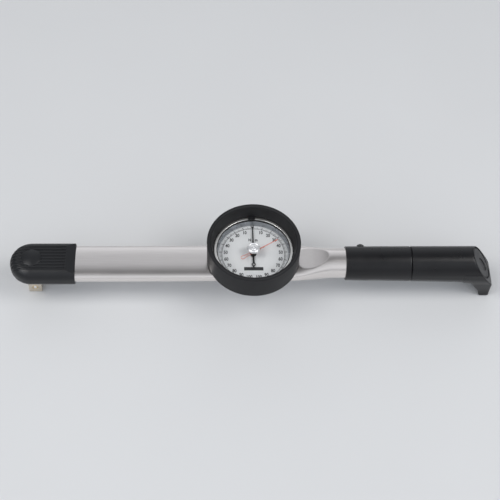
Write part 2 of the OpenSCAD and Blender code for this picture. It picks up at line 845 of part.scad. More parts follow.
module main_pointer() {
    top = pointer_z + pointer_t;
    color("#202020") difference() {
        union() {
            translate([dial_x, 0, pointer_z]) linear_extrude(pointer_t)
                hand(pointer_tip, 2, 0.9, pointer_tail, 1.6);
            z_rod(pointer_z, top, 2 * hub_r, dial_x);
            z_rod(pointer_z, top, tail_ring_r, dial_x, tail_ring_y);
        }
        z_rod(pointer_z - over, top + over, hub_r + seat, dial_x);
        z_rod(pointer_z - over, top + over, tail_hole_r, dial_x, tail_ring_y);
    }
}

module pointer_hub() {
    color("goldenrod") difference() {
        union() {
            z_rod(pointer_z - 0.8, pointer_z, hub_flange_r, dial_x);
            z_rod(pointer_z - 0.5, pointer_z + hub_up, hub_r, dial_x);
        }
        z_rod(pointer_z - over, pointer_z + 0.6, arbor_r + seat, dial_x);
    }
}

// White dial, screwed up against the cone
module dial_plate() {
    color("white") difference() {
        z_rod(face_z - face_t, face_z, lens_r, dial_x);
        z_rod(face_z - face_t - over, face_z + over, face_hole_r, dial_x);
        dial_screw_places() z_rod(face_z - face_t - over, face_z + over, dial_screw_r + seat);
    }
}

module dial_screw_places() {
    for (a = [30 : 120 : 270]) translate([dial_x, 0, 0]) rotate([0, 0, a])
        translate([(face_r + lens_r) / 2, 0, 0]) children();
}

// Bright cone between the dial and the lens
module dial_cone() {
    color("gainsboro") difference() {
        z_rod(face_z, cone_top, lens_r, dial_x);
        translate([dial_x, 0, face_z - 0.01])
            cylinder(h = cone_top - face_z + 0.02, r1 = face_r, r2 = lens_r - cone_edge);
        dial_screw_places() z_rod(face_z - over, face_z + 2.4, dial_screw_r + seat);
    }
}

module dial_screws() {
    color("silver") dial_screw_places() {
        z_rod(face_z - face_t - 0.6, face_z - face_t, 2 * dial_screw_r);
        z_rod(face_z - face_t, face_z + 2.2, dial_screw_r);
    }
}

module lens() {
    color("lightblue", 0.4) z_ring(lens_low, lens_top, shaft_r + run, lens_r, dial_x);
}

module lens_gasket() {
    color("black") z_ring(cone_top, lens_low, lens_r - cone_edge, lens_r, dial_x);
}

// Bezel ring: a lip over the lens, a skirt round the cone and a flange that turns in the case
module lens_ring() {
    skirt_low = face_z - face_t;
    color("silver") translate([dial_x, 0, 0]) rotate_extrude() polygon([
        [lens_r + seat, skirt_low], [skirt_r, skirt_low], [skirt_r, flange_low],
        [flange_r, flange_low], [flange_r, flange_low + flange_t], [skirt_r, flange_low + flange_t],
        [skirt_r, ring_top - ring_corner], [skirt_r - ring_corner, ring_top],
        [lens_r - ring_corner, ring_top],
        [lens_r - ring_corner, lens_top + seat], [lens_r + seat, lens_top + seat]
    ]);
}

// Tab on the bezel, at the dial's zero
module index_tab() {
    color("#202020") box([dial_x - tab_left, lens_r - tab_in, ring_top],
        [dial_x + tab_right, skirt_r - ring_corner, ring_top + tab_t]);
}

// Deep rubber guard round the dial
module guard_ring() {
    lip_r = skirt_r + free;
    wall_r = case_r + seat;
    color("#1f2023") translate([dial_x, 0, 0]) rotate_extrude() {
        polygon([
            [wall_r, guard_low], [guard_r - 1.3, guard_low], [guard_r - 0.3, guard_low + 1],
            [guard_r, rim_z], [guard_r - 2 * rim_r, rim_z], [lip_r + 0.2, ring_top + 0.6], [lip_r, ring_top],
            [lip_r, case_top + 0.05], [wall_r, case_top + 0.05]
        ]);
        translate([guard_r - rim_r, rim_z]) circle(rim_r);
    }
}

// Knob that turns the memory pointer
module memory_knob() {
    color("silver") difference() {
        union() {
            z_rod(knob_low, knob_top - knob_edge, knob_r, dial_x);
            translate([dial_x, 0, knob_top - knob_edge])
                cylinder(h = knob_edge, r1 = knob_r, r2 = knob_r - knob_edge);
        }
        z_rod(knob_low - over, shaft_top, shaft_r + seat, dial_x);
    }
}

// Spring washer that keeps the memory pointer where it is left
module friction_washer() {
    color("darkgray") z_ring(lens_top + run, knob_low - seat, shaft_r + seat, washer_r, dial_x);
}

module memory_shaft() {
    color("silver") {
        z_rod(memory_z - nut_t, shaft_top, shaft_r, dial_x);
        z_rod(memory_z + memory_t, memory_z + memory_t + 0.8, memory_boss_r, dial_x);
    }
}

// Memory pointer, with a dog that the main pointer pushes
module memory_pointer() {
    color("firebrick") translate([dial_x, 0, 0]) rotate([0, 0, -memory_angle]) {
        difference() {
            translate([0, 0, memory_z]) linear_extrude(memory_t) {
                hand(memory_tip, 1.6, 0.8, memory_tail, 2.6);
                circle(memory_boss_r);
            }
            z_rod(memory_z - over, memory_z + memory_t + over, shaft_r + seat);
            box([-0.8, 1 - memory_tail, memory_z - over], [0.8, -4, memory_z + memory_t + over]);
        }
        z_rod(pointer_z + pointer_t + dog_gap, memory_z, dog_pin_r, 0, dog_r);
    }
}

module memory_nut() {
    color("goldenrod") z_ring(memory_z - nut_t, memory_z, shaft_r + seat, 2, dial_x);
}

// Places its children on the grip screw's axis, pointing out through the grip
module grip_screw_axis() {
    translate([screw_x, 0, axis_h]) rotate([screw_tilt - 90, 0, 0]) children();
}

// Cuts away what lies behind a plane parallel to the grip's end face
module end_cut(back) {
    translate([grip_end - back, 0, axis_h]) rotate([0, -end_angle, 0])
        translate([0, -50, -80]) cube([90, 100, 160]);
}

// Side view of the hook, before its plan rounding
module hook_side() {
    difference() {
        union() {
            translate([hook_start, hook_tip_r]) square([hook_len, axis_h - hook_tip_r]);
            translate([hook_start, 0]) square([hook_len - hook_tip_r, axis_h]);
            translate([hook_end - hook_tip_r, hook_tip_r]) circle(hook_tip_r);
        }
        translate([hook_start, -0.5]) circle(hook_cove);
        translate([hook_end - hook_tip, -over]) square([hook_notch, hook_notch + over]);
    }
}

// Moulded grip: round at the front, deeper towards the hook, cut off at a slant
module grip_sleeve() {
    tilt = atan(grip_drop / grip_len);
    line_x = grip_x + load_line;
    color("#222427") difference() {
        union() {
            x_rod(grip_x, hook_end, grip_r, 0, grip_axis);
            intersection() {
                translate([grip_x, 0, grip_axis]) rotate([0, tilt + 90, 0])
                    translate([0, 0, -10]) cylinder(h = grip_len + 30, r = grip_r);
                box([grip_x, -grip_r, 0], [hook_end, grip_r, axis_h]);
            }
            intersection() {
                side_extrude(hook_w) hook_side();
                linear_extrude(axis_h) union() {
                    translate([hook_start, -hook_w / 2]) square([hook_len - hook_plan_r, hook_w]);
                    translate([hook_start, hook_plan_r - hook_w / 2])
                        square([hook_len, hook_w - 2 * hook_plan_r]);
                    for (s = [-1, 1])
                        translate([hook_end - hook_plan_r, s * (hook_w / 2 - hook_plan_r)])
                            circle(hook_plan_r);
                }
            }
        }
        end_cut(0);
        intersection() {
            end_cut(cap_t);
            x_rod(grip_end - 60, hook_end + 20, cap_r + cap_gap, 0, grip_axis);
        }
        x_rod(grip_x - over, tube_rear + 2, grip_bore_r);
        difference() {
            x_rod(line_x - line_w / 2, line_x + line_w / 2, 2 * grip_r);
            for (drop = [0, load_line * grip_drop / grip_len])
                x_rod(line_x - over, line_x + over, grip_r - line_t, 0, grip_axis - drop);
        }
        grip_screw_axis() cylinder(h = 2 * grip_r, r = grip_screw_r + seat);
        grip_screw_axis() translate([0, 0, screw_seat])
            cylinder(h = grip_r, r = screw_head_d / 2 + spot_edge);
    }
}

// Inset plate in the slanted end of the grip, with a shallow oval
module grip_end_cap() {
    color("#2b2d30") difference() {
        intersection() {
            end_cut(cap_t - 0.05);
            x_rod(grip_end - 60, hook_end + 20, cap_r, 0, grip_axis);
        }
        end_cut(0);
        intersection() {
            end_cut(oval_t);
            translate([0, 0, -oval_drop]) x_rod(grip_end - 60, hook_end + 20, oval_r, 0, grip_axis);
        }
    }
}

// Button-head screw that fixes the grip to the tube
module grip_screw() {
    color("#2b2b2b") grip_screw_axis() difference() {
        union() {
            translate([0, 0, screw_foot]) cylinder(h = screw_seat - screw_foot, r = grip_screw_r);
            translate([0, 0, screw_seat]) cylinder(h = screw_cyl_t, r = screw_head_d / 2);
            translate([0, 0, screw_seat + screw_cyl_t])
                cylinder(h = screw_dome_t, r1 = screw_head_d / 2, r2 = screw_head_d / 2 - screw_dome_in);
        }
        translate([0, 0, screw_seat + 1]) cylinder(h = screw_cyl_t + screw_dome_t, r = socket_r, $fn = 6);
    }
}

housing_tube();
head_casting();
lower_bush();
upper_bush();
head_plate();
snap_ring();
head_pins();
head_cover();
drive_head();
detent_ball();
detent_spring();
beam_pins();
measuring_beam();
beam_anchor();
anchor_pins();
anchor_screws();
rack_arm();
arm_screws();
sector_rack();
sector_rivets();
dial_case();
case_gasket();
case_screws();
movement_top_plate();
movement_low_plate();
movement_pillars();
pillar_screws();
plate_screws();
pointer_arbor();
hairspring();
spring_collet();
spring_stud();
main_pointer();
pointer_hub();
dial_plate();
dial_cone();
dial_screws();
lens();
lens_gasket();
lens_ring();
index_tab();
guard_ring();
memory_knob();
friction_washer();
memory_shaft();
memory_pointer();
memory_nut();
grip_sleeve();
grip_end_cap();
grip_screw();
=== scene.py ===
"""Dial torque wrench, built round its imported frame: tube, head, drive, dial and grip.

Lengths in this file are millimetres until a mesh is made, and metres after that.
"""

import math

import bmesh
import bpy
import numpy as np
from mathutils import Matrix, Vector


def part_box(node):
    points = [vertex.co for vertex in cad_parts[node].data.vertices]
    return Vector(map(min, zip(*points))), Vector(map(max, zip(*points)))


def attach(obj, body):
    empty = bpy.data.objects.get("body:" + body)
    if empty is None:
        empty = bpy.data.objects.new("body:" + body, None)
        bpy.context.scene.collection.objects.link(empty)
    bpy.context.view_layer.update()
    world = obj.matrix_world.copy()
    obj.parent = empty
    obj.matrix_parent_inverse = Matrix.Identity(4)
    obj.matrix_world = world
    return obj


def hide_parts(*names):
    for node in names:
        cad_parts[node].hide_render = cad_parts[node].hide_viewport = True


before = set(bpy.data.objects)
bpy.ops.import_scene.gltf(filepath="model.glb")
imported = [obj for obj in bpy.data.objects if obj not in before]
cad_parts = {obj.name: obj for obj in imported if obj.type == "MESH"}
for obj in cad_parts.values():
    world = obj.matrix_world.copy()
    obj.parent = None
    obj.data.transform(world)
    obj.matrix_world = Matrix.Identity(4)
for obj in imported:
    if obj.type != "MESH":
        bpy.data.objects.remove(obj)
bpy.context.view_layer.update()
MM = 0.001

# ---------------------------------------------------------------- housing tube
# A round steel tube, pressed flat from the head to just past the dial, then
# plated and fine-polished along its length. A ramp leads back up to the round.


def corners(node):
    """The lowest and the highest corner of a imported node."""
    low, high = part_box(node)
    return np.array(low) / MM, np.array(high) / MM


def middle(node):
    low, high = corners(node)
    return (low + high) / 2


# The dial's centre, and the height of the tube's centre line.
dial_x = middle("lens_ring")[0]
axis_z = middle("head_casting")[2]


def principled(name, colour, metallic=0.0, roughness=0.5):
    """A material and its Principled node, with plain values on the node's own sockets."""
    material = bpy.data.materials.new(name)
    material.use_nodes = True
    shader = material.node_tree.nodes["Principled BSDF"]
    shader.inputs["Base Color"].default_value = (*colour, 1)
    shader.inputs["Metallic"].default_value = metallic
    shader.inputs["Roughness"].default_value = roughness
    return material, shader


class Weave:
    """Short words for the nodes of one material."""

    def __init__(self, material):
        self.tree = material.node_tree
        self.place = self.node("ShaderNodeTexCoord").outputs["Object"]

    def node(self, kind, **fields):
        made = self.tree.nodes.new(kind)
        for field, value in fields.items():
            setattr(made, field, value)
        return made

    def link(self, source, target):
        self.tree.links.new(source, target)

    def stretched(self, scale, turn=(0, 0, 0)):
        mapping = self.node("ShaderNodeMapping")
        mapping.inputs["Scale"].default_value = scale
        mapping.inputs["Rotation"].default_value = turn
        self.link(self.place, mapping.inputs["Vector"])
        return mapping.outputs["Vector"]

    def noise(self, scale, detail=3.0, roughness=0.5, vector=None):
        made = self.node("ShaderNodeTexNoise")
        made.inputs["Scale"].default_value = scale
        made.inputs["Detail"].default_value = detail
        made.inputs["Roughness"].default_value = roughness
        self.link(vector or self.place, made.inputs["Vector"])
        return made.outputs["Fac"]

    def range(self, source, low, high, start=0.3, end=0.7):
        made = self.node("ShaderNodeMapRange")
        limits = {"From Min": start, "From Max": end, "To Min": low, "To Max": high}
        for socket, value in limits.items():
            made.inputs[socket].default_value = value
        self.link(source, made.inputs["Value"])
        return made.outputs["Result"]

    def colours(self, source, low, high, start=0.3, end=0.7):
        ramp = self.node("ShaderNodeValToRGB")
        ramp.color_ramp.elements[0].position = start
        ramp.color_ramp.elements[0].color = (*low, 1)
        ramp.color_ramp.elements[1].position = end
        ramp.color_ramp.elements[1].color = (*high, 1)
        self.link(source, ramp.inputs["Fac"])
        return ramp.outputs["Color"]

    def bump(self, source, strength, depth, under=None):
        made = self.node("ShaderNodeBump")
        made.inputs["Strength"].default_value = strength
        made.inputs["Distance"].default_value = depth
        self.link(source, made.inputs["Height"])
        if under:
            self.link(under, made.inputs["Normal"])
        return made.outputs["Normal"]


def polished_metal(name, low, high, gloss=(0.2, 0.34), grain=(1, 60, 60), depth=0.00002, scale=40):
    """Metal with fine lines along one axis, cloudy gloss and a few darker patches."""
    material, shader = principled(name, high, metallic=1.0)
    w = Weave(material)
    lines = w.noise(scale, 4, 0.65, w.stretched(grain))
    clouds = w.noise(30, 3)
    w.link(w.colours(lines, low, high, 0.25, 0.7), shader.inputs["Base Color"])
    w.link(w.range(clouds, *gloss), shader.inputs["Roughness"])
    w.link(w.bump(lines, 0.25, depth), shader.inputs["Normal"])
    return material


def wear(obj, material):
    obj.data.materials.clear()
    obj.data.materials.append(material)


def to_piece(mesh, name, material, body, node=None, smooth=True):
    """Makes a mesh a finished piece: material, body and the node that it stands for."""
    piece = bpy.data.objects.new(name, mesh)
    bpy.context.scene.collection.objects.link(piece)
    wear(piece, material)
    for face in mesh.polygons:
        face.use_smooth = smooth
    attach(piece, body)
    if node:
        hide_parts(node)
    return piece


def closed_loft(name, rings):
    """A closed tube through rings of points in mm; the last ring joins the first."""
    count, sides = len(rings), len(rings[0])
    points = np.concatenate(rings) * MM
    faces = [
        (i * sides + j, i * sides + (j + 1) % sides,
         (i + 1) % count * sides + (j + 1) % sides, (i + 1) % count * sides + j)
        for i in range(count) for j in range(sides)
    ]
    mesh = bpy.data.meshes.new(name)
    mesh.from_pydata(points.tolist(), [], faces)
    face_out(mesh)
    return mesh


def face_out(mesh):
    work = bmesh.new()
    work.from_mesh(mesh)
    bmesh.ops.recalc_face_normals(work, faces=work.faces)
    work.to_mesh(mesh)
    work.free()


def smooth_step(value, low, high):
    t = np.clip((value - low) / (high - low), 0, 1)
    return t * t * (3 - 2 * t)


def soft_max(a, b, k):
    """The larger of two fields, rounded over a width k where they cross."""
    h = np.clip(0.5 + 0.5 * (a - b) / k, 0, 1)
    return b + (a - b) * h + k * h * (1 - h)


def soft_min(a, b, k):
    return -soft_max(-a, -b, k)


def rounded_box_2d(u, v, half_u, half_v, radius):
    a, b = np.abs(u) - (half_u - radius), np.abs(v) - (half_v - radius)
    outside = np.hypot(np.maximum(a, 0), np.maximum(b, 0))
    return outside + np.minimum(np.maximum(a, b), 0) - radius


tube_low, tube_high = corners("housing_tube")
tube_round = (tube_high[2] - tube_low[2]) / 2
tube_flat_w = (tube_high[1] - tube_low[1]) / 2
tube_flat_h = corners("case_gasket")[0][2] - axis_z
tube_bulge, bore_bulge = 2.86, 4.5
tube_wall = 1.6
blend_start, blend_end = dial_x + 35, dial_x + 80
# The ramp's height at a few places along it, faired into a smooth line.
press_x = dial_x + np.array([35, 53, 58.8, 61.7, 64.7, 67.6, 70.5, 74.5, 80])
press_z = np.array([7.5, 8.3, 9.0, 9.8, 10.6, 11.6, 12.7, 14.6, 17.5]) - 7.5 + tube_flat_h
fair_x = np.linspace(press_x[0], press_x[-1], 181)
fair_z = np.pad(np.interp(fair_x, press_x, press_z), 16, mode="edge")
fair_z = np.convolve(fair_z, np.hanning(33) / np.hanning(33).sum(), "valid")


def tube_field(x, y, z, inset):
    """Distance to the tube's skin: the pressed oval, the round, and the press's ramp."""
    share = smooth_step(x, blend_start, blend_end)
    half_w = tube_flat_w + (tube_round - tube_flat_w) * share - inset
    half_h = tube_flat_h + (tube_round - tube_flat_h) * share - inset
    bulge = bore_bulge if inset else tube_bulge
    power = bulge + (2 - bulge) * share
    oval = ((np.abs(y) / half_w) ** power + (np.abs(z) / half_h) ** power) ** (1 / power) - 1
    press = np.interp(x, fair_x, fair_z) - inset
    return soft_max(oval * half_h, np.abs(z) - press, 0.25)


def tube_ring(x, inset, sides=160):
    angle = np.linspace(0, 2 * math.pi, sides, endpoint=False)
    near, far = np.zeros(sides), np.full(sides, 30.0)
    for _ in range(30):
        r = (near + far) / 2
        inside = tube_field(x, r * np.cos(angle), r * np.sin(angle), inset) < 0
        near, far = np.where(inside, r, near), np.where(inside, far, r)
    return np.stack([np.full(sides, x), near * np.cos(angle), axis_z + near * np.sin(angle)], 1)


stations = np.concatenate([
    np.linspace(tube_low[0], blend_start - 3, 24),
    np.linspace(blend_start, blend_end + 2, 110),
    np.linspace(blend_end + 5, tube_high[0], 12),
])
tube_mesh = closed_loft("housing_tube_skin", [tube_ring(x, 0) for x in stations]
                        + [tube_ring(x, tube_wall) for x in stations[::-1]])

tube_steel = polished_metal("plated_tube_steel", (0.76, 0.725, 0.705), (0.84, 0.80, 0.78),
                            gloss=(0.17, 0.22), grain=(1, 40, 40), scale=30, depth=0.000006)
tube_piece = to_piece(tube_mesh, "housing_tube_skin", tube_steel, "housing", "housing_tube")


def cut_box(piece, low, high):
    """Cuts a box-shaped window out of a piece."""
    mesh = bpy.data.meshes.new("cutter")
    work = bmesh.new()
    size = [(b - a) * MM for a, b in zip(low, high)]
    centre = [(a + b) / 2 * MM for a, b in zip(low, high)]
    bmesh.ops.create_cube(work, size=1, matrix=Matrix.Translation(centre) @ Matrix.Diagonal((*size, 1)))
    work.to_mesh(mesh)
    work.free()
    cutter = bpy.data.objects.new("cutter", mesh)
    bpy.context.scene.collection.objects.link(cutter)
    modifier = piece.modifiers.new("window", "BOOLEAN")
    modifier.operation, modifier.object, modifier.solver = "DIFFERENCE", cutter, "EXACT"
    depsgraph = bpy.context.evaluated_depsgraph_get()
    cut = bpy.data.meshes.new_from_object(piece.evaluated_get(depsgraph))
    piece.modifiers.clear()
    piece.data = cut
    bpy.data.objects.remove(cutter)


# The window under the dial, where the rack meets the pinion.
window_half_l, window_half_w, window_t = 13.5, 9, 12
cut_box(tube_piece, (dial_x - window_half_l, -window_half_w, axis_z),
        (dial_x + window_half_l, window_half_w, axis_z + window_t))

# ----------------------------------------------------------------- head cover
# A black rubber boot pulled over the head. Its top is grooved lengthwise, with a
# raised disc over the drive and a bevelled smooth band at its rear edge.


def skin(name, field, low, high, step):
    """A closed mesh of the surface where field(x, y, z) is zero; field is negative inside."""
    axes = [np.arange(a - 2 * step, b + 3 * step, step) for a, b in zip(low, high)]
    grid = np.meshgrid(*axes, indexing="ij")
    values = field(*grid).astype(np.float32)
    inside = values < 0
    cell_shape = tuple(n - 1 for n in values.shape)
    total = np.zeros((*cell_shape, 3), np.float32)
    hits = np.zeros(cell_shape, np.float32)
    for axis in range(3):
        others = [a for a in range(3) if a != axis]
        for du in (0, 1):
            for dv in (0, 1):
                start = [slice(0, -1)] * 3
                start[others[0]] = slice(du, du + cell_shape[others[0]])
                start[others[1]] = slice(dv, dv + cell_shape[others[1]])
                end = list(start)
                end[axis] = slice(1, None)
                a, b = values[tuple(start)], values[tuple(end)]
                crossed = (a < 0) != (b < 0)
                t = np.where(crossed, a / np.where(crossed, a - b, 1), 0)
                total[..., axis] += t
                total[..., others[0]] += np.where(crossed, du, 0)
                total[..., others[1]] += np.where(crossed, dv, 0)
                hits += crossed
    active = np.argwhere(hits > 0)
    number = np.full(cell_shape, -1, np.int64)
    number[tuple(active.T)] = np.arange(len(active))
    origin = np.array([a[0] for a in axes])
    points = origin + step * (active + total[tuple(active.T)] / hits[tuple(active.T)][:, None])
    quads = []
    for axis in range(3):
        u, v = (axis + 1) % 3, (axis + 2) % 3
        start, end = [slice(None)] * 3, [slice(None)] * 3
        start[axis], end[axis] = slice(0, -1), slice(1, None)
        crossed = inside[tuple(start)] != inside[tuple(end)]
        edges = np.argwhere(crossed)
        keep = (edges[:, u] > 0) & (edges[:, u] < cell_shape[u])
        keep &= (edges[:, v] > 0) & (edges[:, v] < cell_shape[v])
        edges = edges[keep]
        ring = []
        for du, dv in ((0, 0), (-1, 0), (-1, -1), (0, -1)):
            cell = edges.copy()
            cell[:, u] += du
            cell[:, v] += dv
            ring.append(number[tuple(cell.T)])
        ring = np.stack(ring, 1)
        flip = inside[tuple(edges.T)]
        ring[~flip] = ring[~flip][:, ::-1]
        quads.append(ring)
    quads = np.concatenate(quads)
    # Each point is drawn onto the surface along the field's slope.
    small = step * 0.02
    for _ in range(3):
        here = field(*points.T)
        slope = np.stack([
            (field(*(points + d).T) - field(*(points - d).T)) / (2 * small) for d in np.eye(3) * small], 1)
        move = here[:, None] * slope / np.maximum((slope ** 2).sum(1), 0.2)[:, None]
        points = points - np.clip(move, -0.4 * step, 0.4 * step)
    mesh = bpy.data.meshes.new(name)
    mesh.from_pydata((points * MM).tolist(), [], quads.tolist())
    face_out(mesh)
    return mesh


cover_low, cover_high = corners("head_cover")
cover_half_w = cover_high[1]
cover_half_t = axis_z - cover_low[2]
cover_top = axis_z + cover_half_t
cover_corner = 9.4
nose_x = cover_low[0] + cover_half_w
rib_pitch = 3.55
groove_count, groove_w, groove_t = 8, 1.6, 1.1
groove_floor = axis_z + 5
cover_rear = cover_high[0] - 1.4
groove_end = cover_rear - 9
rear_slope = 0.27
disc_r, disc_t, disc_dome = 9.6, 2.0, 25.0
disc_foot = cover_top - 3
chin = 8.5
hollow_half_w, hollow_half_t, hollow_corner = 19.53, 9.03, 8.0
sleeve_half_t, sleeve_corner, sleeve_from = 7.53, 7.0, 14.0
collar_hole_r = 9.35


def nosed_bar(x, y, z, start, half_w, half_t, corner):
    """A rounded bar along X whose -X end is a round nose."""
    across = np.where(x < start, np.hypot(x - start, y), np.abs(y))
    return rounded_box_2d(across, z - axis_z, half_w, half_t, corner)


def cover_field(x, y, z):
    body = nosed_bar(x, y, z, nose_x, cover_half_w, cover_half_t, cover_corner)
    body = soft_max(body, (z - cover_top + (x - groove_end) * rear_slope) / math.hypot(1, rear_slope), 0.25)
    under_chin = ((cover_low[0] + chin - x) + (axis_z - cover_half_t - z)) / math.sqrt(2)
    body = soft_max(body, under_chin, 2.0)
    row = np.clip(np.floor(y / rib_pitch), -groove_count // 2, groove_count // 2 - 1) + 0.5
    across = np.abs(y - rib_pitch * row) - groove_w / 2
    groove = soft_max(across, -(body + groove_t), 0.3)
    groove = np.maximum(groove, np.maximum(x - groove_end, groove_floor - z))
    body = soft_max(body, -groove, 0.35)
    dome = np.sqrt(x * x + y * y + (z - (cover_top + disc_t - disc_dome)) ** 2) - disc_dome
    disc = soft_max(dome, np.hypot(x, y) - disc_r, 0.6)
    disc = np.maximum(disc, disc_foot - z)
    body = soft_min(body, disc, 0.4)
    body = soft_max(body, x - cover_rear, 0.9)
    hollow = nosed_bar(x, y, z, 0, hollow_half_w, hollow_half_t, hollow_corner)
    over_tube = rounded_box_2d(np.abs(y), z - axis_z, hollow_half_w, sleeve_half_t, sleeve_corner)
    over_tube = np.maximum(over_tube, sleeve_from - x)
    hollow = np.where(x < sleeve_from, hollow, over_tube)
    hole = np.maximum(np.hypot(x, y) - collar_hole_r, z - axis_z)
    return np.maximum(body, -np.minimum(hollow, hole))


def moulded(name, colour, roughness=(0.42, 0.55), grain=1400.0, depth=0.00006, strength=0.35, tint=0.25,
             sheen=0.4):
    """Moulded rubber or plastic: a fine sparked grain, faint flow marks and rubbed patches."""
    material, shader = principled(name, colour)
    shader.inputs["Specular IOR Level"].default_value = sheen
    w = Weave(material)
    fine = w.noise(grain, 2, 0.6)
    clouds = w.noise(45, 4, 0.6)
    light = tuple(c * (1 + tint) + 0.002 for c in colour)
    w.link(w.colours(clouds, colour, light), shader.inputs["Base Color"])
    w.link(w.range(clouds, *roughness), shader.inputs["Roughness"])
    w.link(w.bump(fine, strength, depth), shader.inputs["Normal"])
    return material


cover_rubber = moulded("cover_rubber", (0.006, 0.0065, 0.008), roughness=(0.34, 0.42))
cover_step = 0.45
cover_mesh = skin("head_cover_skin", cover_field, cover_low, cover_high, cover_step)
to_piece(cover_mesh, "head_cover_skin", cover_rubber, "housing", "head_cover")

# --------------------------------------------------------- drive and its ball
# The drive head is one steel forging, turned and milled, then nickel plated. A
# sprung ball is staked into one flat of the square to hold a socket.


def rounded_edges(node, width, segments=2):
    """Breaks a node's sharp edges, as a file or a tumbler does."""
    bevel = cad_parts[node].modifiers.new("edges", "BEVEL")
    bevel.width, bevel.segments, bevel.limit_method = width * MM, segments, "ANGLE"
    bevel.angle_limit = math.radians(35)
    bevel.use_clamp_overlap = True


plated = polished_metal("nickel_plate", (0.62, 0.56, 0.47), (0.78, 0.72, 0.62), gloss=(0.20, 0.34),
                        grain=(30, 30, 4), scale=25)
wear(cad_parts["drive_head"], plated)
rounded_edges("drive_head", 0.3)
bright_ball = polished_metal("ball_steel", (0.78, 0.78, 0.78), (0.9, 0.9, 0.9), gloss=(0.06, 0.12),
                             grain=(1, 1, 1), scale=300)
wear(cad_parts["detent_ball"], bright_ball)
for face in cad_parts["detent_ball"].data.polygons:
    face.use_smooth = True

# The staked lip is a thin yellow rim, upset round the ball in the square's flat.
ball_x, _, ball_z = middle("detent_ball")
ball_proud = 1.0
flat_y = corners("detent_ball")[0][1] + ball_proud
lip_profile = [(2.02, 0.1), (2.02, -0.12), (2.25, -0.22), (2.7, -0.16), (2.95, 0.0), (2.95, 0.1)]
lip_rings = [
    np.array([[ball_x + r * math.cos(a), flat_y + y, ball_z + r * math.sin(a)] for r, y in lip_profile])
    for a in np.linspace(0, 2 * math.pi, 64, endpoint=False)
]
lip_metal = polished_metal("staked_lip", (0.50, 0.36, 0.16), (0.74, 0.56, 0.28), gloss=(0.24, 0.36),
                           grain=(8, 8, 8), scale=120)
to_piece(closed_loft("staked_lip", lip_rings), "staked_lip", lip_metal, "drive")

# ------------------------------------------------- hidden parts of head and beam
# Bushes of sintered bronze, a blued spring steel beam, oiled dark castings and
# ground pins and screws, all inside the tube or under the head cover.
dark_steel = polished_metal("oiled_casting", (0.10, 0.10, 0.105), (0.24, 0.24, 0.25), gloss=(0.35, 0.55),
                            grain=(8, 8, 8), scale=60, depth=0.00008)
bronze = polished_metal("sintered_bronze", (0.42, 0.27, 0.12), (0.66, 0.46, 0.22), gloss=(0.35, 0.5),
                        grain=(10, 10, 10), scale=90, depth=0.00004)
brass = polished_metal("rolled_brass", (0.62, 0.46, 0.20), (0.82, 0.64, 0.32), gloss=(0.2, 0.34),
                       grain=(1, 30, 1), scale=60)
ground_steel = polished_metal("ground_steel", (0.50, 0.50, 0.51), (0.72, 0.72, 0.73), gloss=(0.2, 0.35),
                              grain=(30, 1, 1), scale=50)
spring_steel = polished_metal("blued_spring_steel", (0.16, 0.18, 0.24), (0.34, 0.37, 0.44),
                              gloss=(0.22, 0.36), grain=(1, 30, 30), scale=40)
finishes = {
    dark_steel: ["head_casting", "beam_anchor", "dial_case"],
    bronze: ["lower_bush", "upper_bush"],
    brass: ["sector_rack", "movement_top_plate", "movement_low_plate", "movement_pillars", "spring_collet",
            "spring_stud", "memory_nut"],
    ground_steel: ["head_plate", "head_pins", "beam_pins", "anchor_pins", "anchor_screws", "rack_arm",
                   "arm_screws", "sector_rivets", "case_screws", "pillar_screws", "plate_screws",
                   "pointer_arbor", "dial_screws", "memory_shaft"],
    spring_steel: ["snap_ring", "detent_spring", "measuring_beam", "hairspring", "friction_washer"],
}
for finish, nodes in finishes.items():
    for node in nodes:
        wear(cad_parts[node], finish)

# -------------------------------------------------------------- case and guard
# The deep guard is a ring of black rubber, stretched over the dial case. Its rim
# is a thick rounded lip, and its inner wall narrows down to the bezel. Thin rubber
# gaskets seal the case and the lens.


def lathe(name, profile, centre=(dial_x, 0.0), turns=256):
    """Turns a closed profile of (radius, height) points round a vertical axis."""
    angles = np.linspace(0, 2 * math.pi, turns, endpoint=False)
    rings = [np.array([[centre[0] + r * math.cos(a), centre[1] + r * math.sin(a), z] for r, z in profile])
             for a in angles]
    return closed_loft(name, rings)


def arc(centre_r, centre_z, radius, start, end, count=8):
    """Points of an arc in a profile, angles in degrees."""
    return [(centre_r + radius * math.cos(math.radians(a)), centre_z + radius * math.sin(math.radians(a)))
            for a in np.linspace(start, end, count)]


guard_low, guard_high = corners("guard_ring")
guard_r = guard_high[0] - dial_x
guard_top = guard_high[2]
ring_top = corners("lens_ring")[1][2]
flange_edge, lip_gap, wall_gap = 0.75, 0.3, 0.03
lip_r = corners("lens_ring")[1][0] - dial_x - flange_edge + lip_gap
wall_r = corners("dial_case")[1][0] - dial_x + wall_gap
case_top = corners("dial_case")[1][2]
rim = 2.1
guard_profile = (
    [(wall_r, guard_low[2])]
    + arc(guard_r - 1.7, guard_low[2] + 1.3, 1.3, -90, 0, 6)
    + [(guard_r - 0.15, guard_top - 6), (guard_r - 0.1, guard_top - 4.2)]
    + arc(guard_r - rim, guard_top - rim, rim, 0, 180, 18)
    + [(guard_r - 2 * rim - 0.1, guard_top - 3.4), (guard_r - 2 * rim - 0.5, guard_top - 5),
       (lip_r + 1.0, ring_top + 5), (lip_r + 0.35, ring_top + 1.6), (lip_r, ring_top + 0.2)]
    + [(lip_r, case_top + 0.1), (wall_r, case_top + 0.1)]
)
guard_rubber = moulded("guard_rubber", (0.007, 0.007, 0.008), roughness=(0.55, 0.65), grain=900, tint=0.3,
                       sheen=0.35)
to_piece(lathe("guard_ring_skin", guard_profile), "guard_ring_skin", guard_rubber, "housing",
         "guard_ring")
